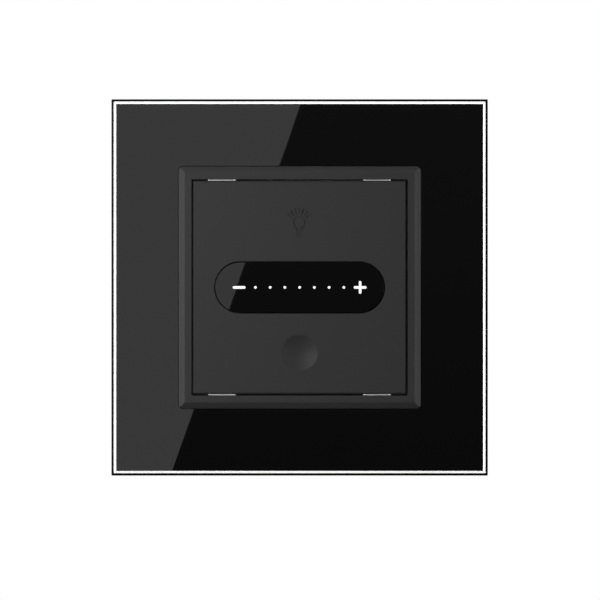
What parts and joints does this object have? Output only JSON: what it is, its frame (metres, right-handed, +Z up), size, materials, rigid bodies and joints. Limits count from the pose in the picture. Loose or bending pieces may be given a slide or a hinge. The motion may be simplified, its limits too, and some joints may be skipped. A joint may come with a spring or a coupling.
{
  "type": "dimmer slide switch",
  "caption": "Flush-mounted touch dimmer: square black glass frame, dark key with a capsule touch strip, marks and a finger dish.",
  "frame": {"origin": "centre of the pair of wall screw slots, on the bracket's back face, which is the wall surface", "axes": "+X right and +Z up as seen from the room, +Y into the wall; the front faces -Y"},
  "size_m": [0.08, 0.0433, 0.08],
  "materials": {
    "black_glass": "polished, painted black behind",
    "foam_tape": "matte",
    "carrier_plastic": "satin",
    "key_plastic": "fine matte",
    "lens_plastic": "high gloss",
    "white_diffuser": "satin, translucent",
    "electrode_foil": "satin",
    "black_plastic": "matte",
    "circuit_board": "solder mask, satin",
    "led_resin": "gloss",
    "gold_contact": "gold plated",
    "chip_resin": "matte moulding",
    "zinc_steel": "zinc plated",
    "screw_steel": "zinc plated",
    "spring_steel": "bright",
    "housing_plastic": "fine matte",
    "aluminium": "milled",
    "coated_ferrite": "epoxy coated",
    "bare_ferrite": "matte",
    "enamelled_copper": "enamelled",
    "yellow_plastic": "satin",
    "capacitor_sleeve": "shrink sleeve",
    "blue_coating": "epoxy coated",
    "brown_plastic": "satin",
    "terminal_plastic": "fine matte",
    "tinned_copper": "tinned",
    "cage_steel": "yellow zinc plated"
  },
  "bodies": {
    "base": {"bezel_frame": "key_plastic", "spring_clip_top_left": "spring_steel", "spring_clip_top_right": "spring_steel", "spring_clip_bottom_left": "spring_steel", "spring_clip_bottom_right": "spring_steel", "support_bracket": "zinc_steel", "bracket_screws": "screw_steel", "housing_lid": "housing_plastic", "rear_housing": "housing_plastic", "pin_socket": "black_plastic", "power_board": "circuit_board", "heat_spreader": "aluminium", "transistor_left": "chip_resin", "transistor_right": "chip_resin", "transistor_screws": "screw_steel", "choke_core": "coated_ferrite", "choke_winding": "enamelled_copper", "film_capacitor": "yellow_plastic", "bulk_capacitor": "capacitor_sleeve", "varistor": "blue_coating", "fuse": "brown_plastic", "transformer_core": "bare_ferrite", "transformer_coil": "yellow_plastic", "rectifier": "chip_resin", "terminal_block": "terminal_plastic", "contact_bar_live": "tinned_copper", "contact_bar_neutral": "tinned_copper", "contact_bar_load": "tinned_copper"},
    "glass_frame": {"glass_panel": "black_glass", "mounting_tape": "foam_tape", "carrier_frame": "carrier_plastic"},
    "touch_key": {"key_plate": "key_plastic", "slider_lens": "lens_plastic", "light_guide": "white_diffuser", "touch_foil": "electrode_foil", "led_baffle": "black_plastic", "touch_board": "circuit_board", "leds": "led_resin", "touch_spring": "gold_contact", "touch_controller": "chip_resin", "microcontroller": "chip_resin", "pin_header": "black_plastic", "key_backplate": "black_plastic"},
    "screw_live": {"terminal_screw_live": "screw_steel"},
    "cage_live": {"clamp_cage_live": "cage_steel"},
    "screw_neutral": {"terminal_screw_neutral": "screw_steel"},
    "cage_neutral": {"clamp_cage_neutral": "cage_steel"},
    "screw_load": {"terminal_screw_load": "screw_steel"},
    "cage_load": {"clamp_cage_load": "cage_steel"}
  },
  "joints": [
    {"name": "glass_frame_pull", "type": "slide", "parent": "base", "child": "glass_frame", "axis": [0, -1, 0], "range_m": [0, 0.016]},
    {"name": "touch_key_pull", "type": "slide", "parent": "base", "child": "touch_key", "axis": [0, -1, 0], "range_m": [0, 0.018]},
    {"name": "screw_live_turn", "type": "hinge", "parent": "base", "child": "screw_live", "pos_m": [-0.008, 0.02625, -0.024], "axis": [0, 0, 1], "range_deg": [0, 1740]},
    {"name": "cage_live_clamp", "type": "slide", "parent": "base", "child": "cage_live", "axis": [0, 0, -1], "range_m": [0, 0.0029]},
    {"name": "screw_neutral_turn", "type": "hinge", "parent": "base", "child": "screw_neutral", "pos_m": [0, 0.02625, -0.024], "axis": [0, 0, 1], "range_deg": [0, 1740]},
    {"name": "cage_neutral_clamp", "type": "slide", "parent": "base", "child": "cage_neutral", "axis": [0, 0, -1], "range_m": [0, 0.0029]},
    {"name": "screw_load_turn", "type": "hinge", "parent": "base", "child": "screw_load", "pos_m": [0.008, 0.02625, -0.024], "axis": [0, 0, 1], "range_deg": [0, 1740]},
    {"name": "cage_load_clamp", "type": "slide", "parent": "base", "child": "cage_load", "axis": [0, 0, -1], "range_m": [0, 0.0029]}
  ],
  "couplings": [
    {"joint": "screw_live_turn", "follows": "cage_live_clamp", "rad_per_m": 10472},
    {"joint": "screw_neutral_turn", "follows": "cage_neutral_clamp", "rad_per_m": 10472},
    {"joint": "screw_load_turn", "follows": "cage_load_clamp", "rad_per_m": 10472}
  ]
}
